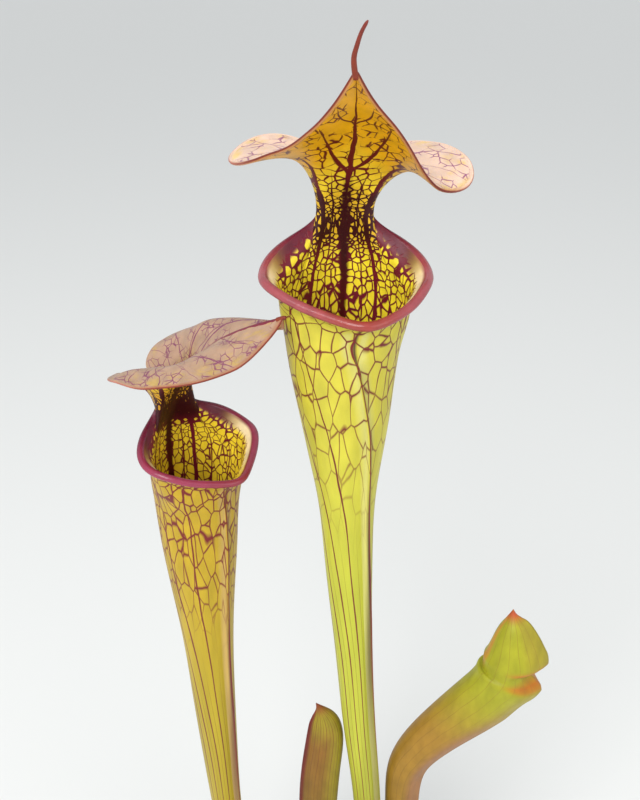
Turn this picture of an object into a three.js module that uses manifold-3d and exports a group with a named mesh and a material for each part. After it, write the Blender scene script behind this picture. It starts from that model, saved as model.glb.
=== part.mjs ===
// A potted sarracenia hybrid: two open pitcher leaves, a young one and a bud, on a rhizome in a nursery pot.
// Millimetres, +Z up. The origin is the centre of the pot's underside, and the plant is seen along +Y.

import * as THREE from 'three';
import { mergeVertices } from 'three/addons/utils/BufferGeometryUtils.js';
import Module from 'manifold-3d';

const wasm = await Module();
wasm.setup();

// Driving dimensions

const potHeight = 100;
const potTop = 45;          // half the width over the rim
const potFoot = 33;         // half the width at the foot
const potWall = 1.2;
const potCorner = 9;        // corner radius at the rim
const soilTop = 90;
const clearance = 0.3;      // between pieces that touch
const leafWall = 0.7;       // thickness of a pitcher's wall
const lipRadius = 1.2;      // radius of the rolled lip
const socketDepth = 7;      // how far a leaf goes into the rhizome

// Small tools

const lerp = THREE.MathUtils.lerp;

function step(x, from, to) {
  return THREE.MathUtils.smoothstep(x, from, to);
}

// A seeded random number generator, so that the grit always falls alike.
function seeded(seed) {
  let state = seed;
  return () => {
    state = (state * 1664525 + 1013904223) % 4294967296;
    return state / 4294967296;
  };
}

// A closed skin over rows of points, each row a loop, with a point at both ends.
function skin(rows, startPoint, endPoint) {
  const across = rows[0].length;
  const positions = [startPoint, ...rows.flat(), endPoint].flatMap((p) => [p.x, p.y, p.z]);
  const last = 1 + rows.length * across;
  const index = [];
  for (let i = 0; i < across; i += 1) {
    const next = (i + 1) % across;
    index.push(0, 1 + next, 1 + i);
    for (let row = 0; row < rows.length - 1; row += 1) {
      const a = 1 + row * across + i;
      const b = 1 + row * across + next;
      index.push(a, b, b + across, a, b + across, a + across);
    }
    const end = 1 + (rows.length - 1) * across;
    index.push(end + i, end + next, last);
  }
  const geometry = new THREE.BufferGeometry();
  geometry.setAttribute('position', new THREE.Float32BufferAttribute(positions, 3));
  geometry.setIndex(index);
  return geometry;
}

function toManifold(geometry) {
  const bare = geometry.clone();
  bare.deleteAttribute('normal');
  bare.deleteAttribute('uv');
  const merged = mergeVertices(bare, 1e-4);
  return new wasm.Manifold(new wasm.Mesh({
    numProp: 3,
    vertProperties: new Float32Array(merged.attributes.position.array),
    triVerts: new Uint32Array(merged.index.array),
  }));
}

function fromManifold(manifold) {
  const mesh = manifold.getMesh();
  const geometry = new THREE.BufferGeometry();
  geometry.setAttribute('position', new THREE.Float32BufferAttribute(mesh.vertProperties, 3));
  geometry.setIndex(Array.from(mesh.triVerts));
  geometry.computeVertexNormals();
  return geometry;
}

function material(color, roughness) {
  return new THREE.MeshStandardMaterial({ color, roughness, metalness: 0 });
}

function piece(name, manifold, look) {
  const mesh = new THREE.Mesh(fromManifold(manifold), look);
  mesh.name = name;
  return mesh;
}

// Shape of an open pitcher's hood
// Each ring is the right half of a closed line round the leaf, from its back round to its front,
// as [right, back, up] from the centre of the throat. The left half mirrors it. Points with the
// same place in their rings lie on one vein, so a vein runs from ring to ring up to the margin.

const throatRing = [
  [0, 13.6, 6], [2, 13.4, 6], [3.9, 12.8, 6], [5.5, 12, 6], [6.9, 11.1, 6], [8, 10.3, 6], [8.8, 9.6, 6],
  [9.4, 9.1, 6], [9.8, 8.7, 5.9], [10.2, 8.3, 5.8], [10.6, 8, 5.6], [11, 7.6, 5.3], [11.5, 7.1, 4.9],
  [12.5, 6.2, 4.2], [14, 4.2, 3], [15.6, 0.5, 1], [16, -3.5, -0.8], [14.2, -8, -2.2], [10.2, -11.6, -4],
  [5.3, -14, -5.2], [0, -15, -5.6],
];

const neckRing = [
  [0, 11.4, 21.5], [1.3, 11.3, 21.5], [2.6, 11, 21.5], [3.8, 10.6, 21.5], [4.9, 10.2, 21.5],
  [5.8, 9.9, 21.6], [6.5, 9.9, 21.8], [6.9, 10.3, 21.8], [7, 10.8, 21.7], [6.9, 11.3, 21.5],
  [6.8, 11.7, 21], [6.7, 11.7, 20.2], [6.9, 11.1, 18.2], [8.6, 9.5, 15], [12.2, 6.4, 11.6],
  [15.6, 2.2, 7.8], [16.9, -3.2, 5.4], [15.3, -8.2, 3.9], [10.9, -12.4, 1.6], [5.5, -15.6, -0.1],
  [0, -17, -0.7],
];

// Below the lid, the two last rings follow the mouth from the neck to the spout.
const innerLip = [
  [6.5, 12, 21], [8.4, 10.8, 17], [12.8, 7.4, 13.6], [16.9, 3, 9.8], [18.2, -3, 7.7], [16.8, -8.7, 6.3],
  [11.9, -13.5, 3.8], [5.9, -17.6, 2.3], [0, -20, 1.7],
];
const outerLip = [
  [5.7, 12.8, 23], [8, 11.8, 18.2], [13, 8.2, 14.8], [17.9, 3.3, 11.5], [19.8, -2.8, 9.4], [18, -9.2, 8.2],
  [12.8, -14.5, 5.8], [6.3, -19, 4.2], [0, -21.8, 3.6],
];

// The tall leaf's lid stands up like a sail, with wide lobes.
const sailMiddle = [
  [0, -3, 42.5], [2.6, -1.8, 41.5], [5.2, 0, 39.5], [7.6, 1.8, 37], [10, 4, 34.5], [12.4, 6.6, 33],
  [14, 9.8, 32.8], [14.2, 13, 33.3], [12.6, 16, 33.6], [10, 16.5, 33.4], [8, 15, 31.2], [6.9, 13.2, 27],
];
const sailEdge = [
  [0, -21, 57], [2.8, -17.5, 52.2], [6.1, -13.8, 47.7], [10.8, -9, 42.2], [15.5, -3.8, 36.5],
  [21.5, 1.8, 32], [28.2, 7.5, 30.4], [30, 13.8, 32.8], [25, 20.5, 35.9], [16.5, 22.5, 36.4],
  [9.5, 19, 34.5], [6.3, 14.2, 29.5],
];

// The left leaf's lid reaches out over its mouth like a roof.
const roofMiddle = [
  [0, -5.9, 44.3], [2.7, -6.2, 44.1], [5.8, -4.6, 44.4], [8.6, -2, 44.3], [10.3, 1.3, 43.4],
  [10.9, 6.1, 41.8], [11, 10.8, 39.4], [11.7, 15.6, 37.1], [9.5, 19, 33.8], [6.6, 21.2, 30.2],
  [5, 20.4, 26.6], [6.4, 15.6, 25.4],
];
const roofEdge = [
  [0, -32.6, 59.1], [3, -30.8, 54.6], [7.7, -26.3, 50.6], [12.6, -19.6, 47], [16, -11.2, 43.5],
  [18.8, -0.9, 40.7], [20.3, 9, 38.3], [18.8, 18.5, 36], [13.4, 25, 32.8], [7, 28.4, 29.2],
  [3.8, 27, 25.2], [5.6, 19.4, 25.6],
];

const upward = new THREE.Vector3(0, 0, 1);
const neckBack = 10.5;                // the neck's middle, behind the throat's centre
const swingReach = 32;                // how fast a wing swings aside down the tube
const halfCount = 20;                 // vein spaces from the back to the front
const ringCount = 2 * halfCount;
const wingColumns = [-0.36, -0.12, 0.12, 0.36];

// The places round the leaf where the mesh has a line of points: every vein, and four at the wing.
const columns = [];
for (let k = 0; k < ringCount; k += 1) {
  if (k === halfCount) {
    columns.push(...wingColumns.map((side) => halfCount + side));
  } else {
    columns.push(k);
  }
}

function mirroredRing(half) {
  const right = half.map(([x, y, z]) => new THREE.Vector3(x, y, z));
  const left = half.slice(1, -1).reverse().map(([x, y, z]) => new THREE.Vector3(-x, y, z));
  return new THREE.CatmullRomCurve3([...right, ...left], true, 'catmullrom', 0.5);
}

// Bends the mirrored shape to the leaf's own: the lid rolls and shifts to a side, the neck leans
// forward, the spout turns aside and the lid turns about the neck.
function bend(p, leaf) {
  const lid = step(p.z, 20, 34);
  const front = step(-p.y, -17, -3);
  const lobe = Math.sign(p.x) * step(Math.abs(p.x), ...leaf.rollReach);
  const z = p.z - lobe * lid * lerp(leaf.rollBack, leaf.rollFront, front);
  const y = p.y - leaf.neckLean * step(p.z, 4, 24);
  const lidShift = leaf.lidShift * lid * (1 - 0.5 * step(z, 36, 56));
  const spoutShift = leaf.spoutShift * step(-y, 6, 24) * step(z, -22, -2) * step(-z, -14, -6);
  const neck = new THREE.Vector3(0, neckBack - leaf.neckLean, 0);
  const moved = new THREE.Vector3(p.x + lidShift + spoutShift, y, z).sub(neck);
  return moved.applyAxisAngle(upward, leaf.lidTurn * lid).add(neck);
}

function hoodRing(half, leaf) {
  const curve = mirroredRing(half);
  return columns.map((k) => {
    const p = bend(curve.getPoint(k / ringCount), leaf).multiplyScalar(leaf.size);
    return p.applyAxisAngle(upward, leaf.turn).add(leaf.throat);
  });
}

// Angle of a vein round the throat, from the back, to the right first.
function throatAngle(k) {
  const p = mirroredRing(throatRing).getPoint(k / ringCount);
  const angle = Math.atan2(p.x, p.y);
  return k > halfCount && angle <= 0 ? angle + 2 * Math.PI : angle;
}

const crowdedAngles = columns.map(throatAngle);

// A ring of the tube, given as [drop below the throat, half its width, shift right, shift back]. Down
// the tube its front veins, with the wing, swing round to the right.
function tubeRing([drop, halfWidth, shiftX, shiftY], leaf) {
  const crowding = 1 - step(drop, 15, 130);
  const swing = leaf.frontSwing * (1 - Math.exp(-drop / swingReach));
  return columns.map((k, i) => {
    const even = (k * Math.PI) / halfCount;
    const swung = (swing * (1 - Math.cos(even))) / 2;
    const angle = lerp(even, crowdedAngles[i], crowding) - swung - leaf.turn;
    const radius = halfWidth - leafWall / 2;
    const p = new THREE.Vector3(radius * Math.sin(angle), 0.93 * radius * Math.cos(angle), -drop);
    return p.add(new THREE.Vector3(shiftX, shiftY, 0)).add(leaf.throat);
  });
}

// Height of the wing at a drop below the throat, from the leaf's list of [drop, height].
function wingHeight(leaf, z) {
  const drop = leaf.throat.z - z;
  const list = leaf.wing;
  for (let i = 1; i < list.length; i += 1) {
    if (drop < list[i][0]) {
      const share = (drop - list[i - 1][0]) / (list[i][0] - list[i - 1][0]);
      return share < 0 ? 0 : lerp(list[i - 1][1], list[i][1], share);
    }
  }
  return 0;
}

// The middle of the leaf's wall as rows of points, with the wall's outward normal and the
// direction of the vein at each.
function pitcherWall(leaf) {
  const rings = [...leaf.tube].reverse().map((ring) => tubeRing(ring, leaf));
  const tubeRows = rings.length;
  rings.push(hoodRing(throatRing, leaf), hoodRing(neckRing, leaf));
  rings.push(hoodRing([...leaf.lidMiddle, ...innerLip], leaf));
  rings.push(hoodRing([...leaf.lidEdge, ...outerLip], leaf));
  const veins = columns.map((_, i) => {
    return new THREE.CatmullRomCurve3(rings.map((ring) => ring[i]), false, 'centripetal');
  });
  const stations = [];
  for (let ring = 0; ring < tubeRows; ring += 1) {
    stations.push(ring);
  }
  for (let ring = tubeRows; ring < rings.length - 1; ring += 1) {
    stations.push(ring, ring + 0.35, ring + 0.7);
  }
  stations.push(rings.length - 1);
  return stations.map((station) => {
    const share = station / (rings.length - 1);
    const points = veins.map((vein) => vein.getPoint(share));
    return points.map((point, i) => {
      const before = points[(i + points.length - 1) % points.length];
      const after = points[(i + 1) % points.length];
      const round = after.clone().sub(before).normalize();
      const along = veins[i].getTangent(share);
      return { point, along, normal: along.clone().cross(round).normalize() };
    });
  });
}

// The rolled lip is thick along the mouth and thin along the lid's edge.
function edgeRadius(k) {
  const fromBack = Math.min(k, ringCount - k);
  return lerp(0.4, lipRadius, step(fromBack, 12, 14.5));
}

// A row of points round the bead that closes the margin, at a share of the way over it.
function beadPoint({ point, along, normal }, k, share, leaf) {
  const half = leafWall / 2;
  const radius = Math.max(edgeRadius(k) * leaf.size, half + 0.03);
  const turn = (2 * Math.PI - Math.acos(1 - (2 * half) / radius)) * share;
  const centre = point.clone().addScaledVector(normal, radius - half);
  centre.addScaledVector(normal, -radius * Math.cos(turn));
  return centre.addScaledVector(along, radius * Math.sin(turn));
}

// The apiculum: a thin horn that the lid's tip runs out into, as a bent tapering tube.
function hornManifold(leaf) {
  const path = new THREE.CatmullRomCurve3(leaf.horn.map(([x, y, z]) => {
    const p = new THREE.Vector3(x, y, z).multiplyScalar(leaf.size);
    return p.applyAxisAngle(upward, leaf.turn).add(leaf.throat);
  }));
  const rows = [];
  for (let i = 0; i <= 7; i += 1) {
    const share = i / 7;
    const centre = path.getPoint(share);
    const tangent = path.getTangent(share);
    const side = new THREE.Vector3(0, 1, 0).cross(tangent).normalize();
    const front = tangent.clone().cross(side);
    const radius = lerp(0.65, 0.32, share);
    rows.push([0, 1, 2, 3, 4, 5].map((corner) => {
      const angle = (corner * Math.PI) / 3;
      const p = centre.clone().addScaledVector(side, radius * Math.cos(angle));
      return p.addScaledVector(front, radius * Math.sin(angle));
    }));
  }
  return toManifold(skin(rows, path.getPoint(0), path.getPoint(1)));
}

function centreOf(row) {
  const sum = new THREE.Vector3();
  row.forEach((p) => sum.add(p));
  return sum.divideScalar(row.length);
}

// An open pitcher leaf: outer skin up from the foot, over the margin's bead, and the inner skin
// down to the bottom of the hollow.
function pitcher(leaf) {
  const wall = pitcherWall(leaf);
  const half = leafWall / 2;
  const front = columns.indexOf(halfCount + wingColumns[1]);
  const outer = wall.slice(0, -1).map((row) => {
    const points = row.map(({ point, normal }) => point.clone().addScaledVector(normal, half));
    const height = wingHeight(leaf, row[front].point.z);
    if (height > 0) {
      const root = row[front].point.clone().add(row[front + 1].point).divideScalar(2);
      const { along, normal } = row[front];
      const side = normal.clone().cross(along).normalize();
      [-0.45, -0.33, 0.33, 0.45].forEach((aside, i) => {
        const out = i === 1 || i === 2 ? height + half : half;
        points[front - 1 + i] = root.clone().addScaledVector(side, aside).addScaledVector(normal, out);
      });
    }
    return points;
  });
  const margin = wall[wall.length - 1];
  const bead = [1, 0.8, 0.6, 0.4, 0.2, 0].map((share) => {
    return margin.map((place, i) => beadPoint(place, columns[i], share, leaf));
  });
  const hollow = wall.filter((row) => row[0].point.z > leaf.hollowFrom).slice(0, -1).reverse();
  const inner = hollow.map((row) => {
    return row.map(({ point, normal }) => point.clone().addScaledVector(normal, -half));
  });
  // The columns run clockwise seen from above, so each row is turned round for the skin.
  const rows = [...outer, ...bead, ...inner].map((row) => row.slice().reverse());
  const body = toManifold(skin(rows, centreOf(rows[0]), centreOf(rows[rows.length - 1])));
  return body.add(hornManifold(leaf));
}

const tallLeaf = {
  throat: new THREE.Vector3(1.3, 0, soilTop + 284),
  turn: 0,
  size: 1,
  rollReach: [7, 22],
  rollFront: 4.1,
  rollBack: 1,
  lidShift: 1.7,
  neckLean: 0,
  spoutShift: 4.2,
  lidTurn: 0,
  frontSwing: THREE.MathUtils.degToRad(43),
  lidMiddle: sailMiddle,
  lidEdge: sailEdge,
  tube: [
    [11, 14.9, -0.3, -0.5], [22, 13.5, -0.1, -0.5], [34, 11.9, 0.5, -0.4], [47, 10, 0.9, -0.2],
    [60, 8.3, 1.4, 0], [83, 7.2, 2.4, 0], [118, 6, 4.5, 0], [155, 5.4, 7.2, 0], [195, 4.6, 10.7, 0],
    [240, 4.1, 10.8, 0], [279, 3.9, 8.7, 0], [284 + socketDepth, 3.6, 8.7, 0],
  ],
  wing: [[8, 0], [30, 1.8], [100, 2.8], [190, 2.8], [240, 1.5], [276, 0]],
  horn: [[0.85, -20, 55.6], [0.3, -22.4, 59.2], [0.7, -23.8, 61.6], [1.5, -25, 64.2], [2.7, -26, 66.4]],
  hollowFrom: soilTop + 30,
};

const leftLeaf = {
  throat: new THREE.Vector3(-40.4, 0, soilTop + 236),
  turn: THREE.MathUtils.degToRad(47),
  size: 0.845,
  rollReach: [2, 11],
  rollFront: -3.7,
  rollBack: -1.8,
  lidShift: 0,
  neckLean: 3,
  spoutShift: 0,
  lidTurn: THREE.MathUtils.degToRad(11.5),
  frontSwing: 0,
  lidMiddle: roofMiddle,
  lidEdge: roofEdge,
  tube: [
    [10, 12.3, 0, 0], [25, 11.3, -0.4, 0], [43, 9.8, -0.5, 0], [64, 8.1, -0.4, 0], [92, 7, -0.2, 0],
    [117, 6.2, 0.2, 0], [147, 5.3, 1, 0], [180, 4.8, 4.5, 0], [208, 4.5, 12.6, 0], [231, 4.3, 18.2, 0],
    [236 + socketDepth, 4, 18.2, 0],
  ],
  wing: [[8, 0], [25, 1.8], [95, 3], [160, 3], [228, 0]],
  horn: [[8.2, -33.2, 58.3], [8.6, -34.6, 59.1], [8.8, -35.4, 59.5], [8.95, -36, 59.7]],
  hollowFrom: soilTop + 30,
};

// Leaves that have not opened yet
// A closed leaf is a tube along a bent line, given as [x, y, z, half width, half depth, notch], from
// the foot up. The notch is how far its front is drawn in: the slit between its lip and its lid.

const closedCorners = 18;

function closedLeaf({ sections, tip, facing, keel }) {
  const path = sections.map(([x, y, z]) => new THREE.Vector3(x, y, z));
  const rows = sections.map(([, , , halfWidth, halfDepth, notch], i) => {
    const before = path[Math.max(i - 1, 0)];
    const after = path[Math.min(i + 1, path.length - 1)];
    const tangent = after.clone().sub(before).normalize();
    const back = new THREE.Vector3(0, 1, 0).addScaledVector(tangent, -tangent.y).normalize();
    const right = back.clone().cross(tangent).normalize();
    const row = [];
    for (let corner = 0; corner < closedCorners; corner += 1) {
      const angle = (2 * Math.PI * corner) / closedCorners;
      const forward = Math.max(0, Math.cos(angle - facing));
      const ridge = keel * Math.pow(forward, 24) * step(path[i].z, soilTop + 8, soilTop + 40);
      const reach = 1 - notch * Math.pow(forward, 1.2);
      const p = path[i].clone().addScaledVector(right, (halfWidth * reach + ridge) * Math.cos(angle));
      row.push(p.addScaledVector(back, halfDepth * reach * Math.sin(angle)));
    }
    return row;
  });
  return toManifold(skin(rows, path[0], new THREE.Vector3(...tip)));
}

const youngLeaf = {
  sections: [
    [24, 0, soilTop - socketDepth, 3.8, 3.8, 0], [24, 0, soilTop, 4.2, 4.2, 0], [24, 0, 130, 4.8, 4.4, 0],
    [24.5, 0, 179, 5.5, 4.8, 0], [25.5, -0.4, 199, 6.2, 5.2, 0], [30.4, -1.2, 211, 7.4, 5.8, 0],
    [39.2, -2.2, 223.6, 8.8, 6.6, 0], [48.6, -3.2, 235.6, 9.8, 7.4, 0], [54.6, -3.8, 244.6, 10.4, 8, 0],
    [56.2, -4, 248.4, 10.6, 8.2, 0.08], [56.6, -4, 250.2, 9.6, 7.6, 0.5], [56.7, -4, 252.6, 9.4, 7.6, 0.55],
    [57, -4.2, 255.4, 9.6, 7.8, 0.05], [56.9, -4.2, 258.6, 8.8, 7.2, 0], [56.2, -4, 264, 6.6, 5.6, 0],
    [55.4, -3.8, 269.4, 3.8, 3.4, 0], [54.9, -3.6, 272.2, 1.6, 1.5, 0],
  ],
  tip: [54.7, -3.5, 275],
  facing: -0.35,
  keel: 1.4,
};

const budLeaf = {
  sections: [
    [-5, 3, soilTop - socketDepth, 3.8, 3.8, 0], [-5, 3, soilTop, 4.2, 4, 0], [-5.4, 3, 120, 5, 3.8, 0],
    [-5.4, 3, 150, 5.8, 3.8, 0], [-5, 3, 177, 6.5, 3.8, 0], [-3.8, 3, 196, 6.4, 3.7, 0],
    [-2.8, 3, 207, 6.1, 3.5, 0], [-2.6, 3, 214.5, 5.4, 3.1, 0], [-3.4, 3, 220.2, 3.8, 2.3, 0],
    [-4.9, 3, 223.7, 1.6, 1.2, 0],
  ],
  tip: [-6.4, 3, 226.6],
  facing: Math.PI,
  keel: 1.2,
};

// Pot, soil and rhizome

// A square ring with rounded corners.
function squareRing(halfWidth, corner, z, perCorner = 5) {
  const row = [];
  for (let quarter = 0; quarter < 4; quarter += 1) {
    const middle = (quarter * Math.PI) / 2 + Math.PI / 4;
    const inset = (halfWidth - corner) * Math.SQRT2;
    for (let i = 0; i < perCorner; i += 1) {
      const angle = middle + (Math.PI / 2) * (i / (perCorner - 1) - 0.5);
      const x = inset * Math.cos(middle) + corner * Math.cos(angle);
      const y = inset * Math.sin(middle) + corner * Math.sin(angle);
      row.push(new THREE.Vector3(x, y, z));
    }
  }
  return row;
}

// Half the width inside the pot's wall at a height.
function potInside(z) {
  return lerp(potFoot, potTop - 2.6, z / (potHeight - 7)) - potWall;
}

function cornerAt(halfWidth) {
  return (potCorner * halfWidth) / potTop;
}

function drainHoles() {
  const places = [[18, 18], [-18, 18], [18, -18], [-18, -18], [24, 0], [-24, 0], [0, 24], [0, -24]];
  const holes = places.map(([x, y]) => {
    const hole = new THREE.CylinderGeometry(3.5, 3.5, 8, 16).rotateX(Math.PI / 2);
    return toManifold(hole.translate(x, y, 0));
  });
  return wasm.Manifold.union(holes);
}

function pot() {
  const rimFoot = potHeight - 7;
  const profile = [
    [potFoot - 0.8, 0], [potFoot, 0.8], [potTop - 2.6, rimFoot], [potTop - 0.6, rimFoot + 0.4],
    [potTop, rimFoot + 1.4], [potTop, potHeight - 0.6], [potTop - 0.6, potHeight],
    [potTop - 1.6, potHeight], [potTop - 2.2, potHeight - 0.6], [potTop - 2.5, rimFoot + 2],
    [potInside(rimFoot), rimFoot], [potInside(2), 2], [potInside(2) - 0.8, potWall],
  ];
  const rows = profile.map(([halfWidth, z]) => squareRing(halfWidth, cornerAt(halfWidth), z, 7));
  const floor = new THREE.Vector3(0, 0, potWall);
  return toManifold(skin(rows, new THREE.Vector3(0, 0, 0), floor)).subtract(drainHoles());
}

// A flat ring with round ends, long along X: the outline of the rhizome.
function longRing(halfLength, halfWidth, z) {
  const row = [];
  for (let i = 0; i < 20; i += 1) {
    const angle = (2 * Math.PI * (i + 0.5)) / 20;
    const end = Math.sign(Math.cos(angle)) * (halfLength - halfWidth);
    row.push(new THREE.Vector3(end + halfWidth * Math.cos(angle), halfWidth * Math.sin(angle), z));
  }
  return row;
}

const rhizomeCentre = new THREE.Vector3(1, 1, 0);
const rhizomeLength = 33;    // half
const rhizomeWidth = 8.5;    // half
const rhizomeDepth = 13;     // below the soil's top
const rhizomeRise = 3.2;     // above it

function leafSocket(x, y, radius) {
  const hole = new THREE.CylinderGeometry(radius + clearance, radius + clearance, 20, 20);
  return toManifold(hole.rotateX(Math.PI / 2).translate(x, y, soilTop - socketDepth - clearance + 10));
}

// The stub of an old leaf, cut off dry: a short tapering tube that leans outward.
function oldLeafStub(x, y, lean, height) {
  const stub = new THREE.CylinderGeometry(1.6, 2.4, height + 4, 8).rotateX(Math.PI / 2);
  stub.translate(0, 0, height / 2).rotateY(lean).translate(x, y, soilTop);
  return toManifold(stub);
}

function rhizome() {
  const sides = [
    [-rhizomeDepth, 0.72], [-rhizomeDepth + 3, 0.92], [-4, 1], [-0.5, 1], [rhizomeRise - 1.2, 0.93],
    [rhizomeRise, 0.7],
  ];
  const rows = sides.map(([z, share]) => {
    const inset = rhizomeWidth * (1 - share);
    const row = longRing(rhizomeLength - inset, rhizomeWidth - inset, soilTop + z);
    return row.map((p) => p.add(rhizomeCentre));
  });
  const body = toManifold(skin(rows, centreOf(rows[0]), centreOf(rows[rows.length - 1])));
  const stubs = [[-30, 1, -0.5, 10], [-13.5, 2, -0.15, 13], [2.4, -4.5, 0.1, 8], [17, 5, 0.1, 12], [31, 1, 0.5, 9]];
  const withStubs = stubs.reduce((sum, stub) => sum.add(oldLeafStub(...stub)), body);
  const sockets = [[10, 0, 4.05], [-22.2, 0, 4.5], [24, 0, 4.25], [-5, 3, 4.25]];
  return sockets.reduce((rest, socket) => rest.subtract(leafSocket(...socket)), withStubs);
}

// The height of the soil's top, rough like peat.
function soilHeight(x, y) {
  const waves = Math.sin(x * 0.31 + 1.3) * Math.cos(y * 0.27) + 0.6 * Math.sin(x * 0.83 - y * 0.71);
  return soilTop - 0.9 + 0.55 * waves + 0.35 * Math.sin(x * 1.9 + 2) * Math.sin(y * 2.1);
}

function soil() {
  const wallRows = [2, 30, 60, soilTop - 1.2].map((z) => {
    const halfWidth = potInside(z) - clearance;
    return squareRing(halfWidth, cornerAt(halfWidth), z, 7);
  });
  const topHalf = potInside(soilTop - 1) - clearance - 0.4;
  const topRows = [1, 0.94, 0.86, 0.77, 0.67, 0.56, 0.44, 0.31, 0.17].map((share) => {
    const row = squareRing(topHalf * share, cornerAt(topHalf * share), 0, 7);
    return row.map((p) => new THREE.Vector3(p.x, p.y, soilHeight(p.x, p.y)));
  });
  const rows = [...wallRows, ...topRows];
  const top = new THREE.Vector3(0, 0, soilHeight(0, 0));
  return toManifold(skin(rows, new THREE.Vector3(0, 0, 2), top));
}

// Pale grit and perlite, larger than life, half sunk in the soil and fused to it.
function gritLumps() {
  const random = seeded(11);
  const lumps = [];
  while (lumps.length < 34) {
    const x = (random() * 2 - 1) * 37;
    const y = (random() * 2 - 1) * 37;
    const size = 1.3 + random() * 1.1;
    const clearOfPlant = Math.abs(y - rhizomeCentre.y) > rhizomeWidth + 3 || Math.abs(x) > rhizomeLength + 4;
    if (clearOfPlant) {
      const lump = new THREE.IcosahedronGeometry(size, 0);
      lump.rotateX(random() * 3).rotateY(random() * 3).scale(1.2, 1, 0.8);
      lumps.push(toManifold(lump.translate(x, y, soilHeight(x, y) + 0.25 * size)));
    }
  }
  return wasm.Manifold.union(lumps);
}

function soilWithPocket() {
  const floor = soilTop - rhizomeDepth - clearance;
  const rows = [floor, soilTop + 6].map((z) => {
    const row = longRing(rhizomeLength + clearance, rhizomeWidth + clearance, z);
    return row.map((p) => p.add(rhizomeCentre));
  });
  const pocket = toManifold(skin(rows, centreOf(rows[0]), centreOf(rows[1])));
  return soil().add(gritLumps()).subtract(pocket);
}

const pottedPlant = new THREE.Group();
pottedPlant.add(piece('pot', pot(), material(0x17181a, 0.5)));
pottedPlant.add(piece('soil', soilWithPocket(), material(0x2e211b, 1)));
pottedPlant.add(piece('rhizome', rhizome(), material(0x5a3a24, 0.9)));
pottedPlant.add(piece('pitcher_tall', pitcher(tallLeaf), material(0xc5c93a, 0.45)));
pottedPlant.add(piece('pitcher_left', pitcher(leftLeaf), material(0xc7b02f, 0.45)));
pottedPlant.add(piece('pitcher_young', closedLeaf(youngLeaf), material(0xb9b02c, 0.5)));
pottedPlant.add(piece('pitcher_bud', closedLeaf(budLeaf), material(0x9a8a2a, 0.5)));

export default pottedPlant;
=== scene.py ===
import math
from types import SimpleNamespace

import bmesh
import bpy
import numpy as np
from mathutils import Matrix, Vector


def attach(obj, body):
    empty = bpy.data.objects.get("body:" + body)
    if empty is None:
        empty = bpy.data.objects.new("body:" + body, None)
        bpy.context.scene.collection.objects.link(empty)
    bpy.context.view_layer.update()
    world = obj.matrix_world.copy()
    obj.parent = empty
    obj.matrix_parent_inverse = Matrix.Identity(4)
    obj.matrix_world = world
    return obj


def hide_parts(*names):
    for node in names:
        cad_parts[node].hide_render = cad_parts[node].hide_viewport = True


# Looks of a potted sarracenia hybrid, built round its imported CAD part. Lengths are millimetres
# until a mesh is made of them. +Z is up, the plant is seen along +Y, and the pot stands on Z = 0.

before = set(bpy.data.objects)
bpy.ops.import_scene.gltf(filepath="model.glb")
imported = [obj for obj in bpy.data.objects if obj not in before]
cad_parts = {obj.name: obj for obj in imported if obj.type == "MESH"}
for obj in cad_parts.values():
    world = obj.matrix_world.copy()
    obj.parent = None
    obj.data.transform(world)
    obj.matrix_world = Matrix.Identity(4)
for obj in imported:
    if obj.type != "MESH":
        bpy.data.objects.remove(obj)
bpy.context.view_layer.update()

# Pot
# A thin square nursery pot, injection moulded in black polypropylene with a plain rim and drainage
# holes. Its form is the CAD solid, with the edges softened as a mould leaves them.


def linear(colour):
    """sRGB hex to linear RGB: each channel through the sRGB curve. Linear RGB stays as it is."""
    if not isinstance(colour, str):
        return colour
    srgb = np.array([int(colour[i:i + 2], 16) for i in (1, 3, 5)]) / 255
    return np.where(srgb < 0.04045, srgb / 12.92, ((srgb + 0.055) / 1.055) ** 2.4)


def plug(node, sockets):
    """Sets each socket named to a value, or links it to another node's output."""
    for name, value in sockets.items():
        if isinstance(value, bpy.types.NodeSocket):
            node.id_data.links.new(value, node.inputs[name])
        else:
            node.inputs[name].default_value = value
    return node


def add_node(tree, kind, sockets=None, **settings):
    """Adds a shader node with its settings, and plugs its sockets."""
    made = tree.nodes.new("ShaderNode" + kind)
    for name, value in settings.items():
        setattr(made, name, value)
    return plug(made, sockets or {})


def new_material(name, sockets):
    """A material with one Principled shader, whose sockets given are the same all over."""
    material = bpy.data.materials.new(name)
    material.use_nodes = True
    return material, plug(material.node_tree.nodes["Principled BSDF"], sockets)


def noise(place, **sockets):
    """The value of a noise texture at a place. Its scale is per unit of the place."""
    return add_node(place.id_data, "TexNoise", dict(sockets, Vector=place)).outputs["Fac"]


def ranged(value, low, high, start=0.0, end=1.0):
    """Runs evenly from low to high as a value runs from start to end."""
    sockets = {"Value": value, "From Min": start, "From Max": end, "To Min": low, "To Max": high}
    return add_node(value.id_data, "MapRange", sockets).outputs["Result"]


def dents(shader, height, strength, depth):
    """Dents of a depth in metres where a height is low, laid over the dents a shader has."""
    sockets = {"Height": height, "Strength": strength, "Distance": depth}
    made = add_node(shader.id_data, "Bump", sockets)
    if shader.inputs["Normal"].is_linked:
        plug(made, {"Normal": shader.inputs["Normal"].links[0].from_socket})
    plug(shader, {"Normal": made.outputs[0]})


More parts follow.
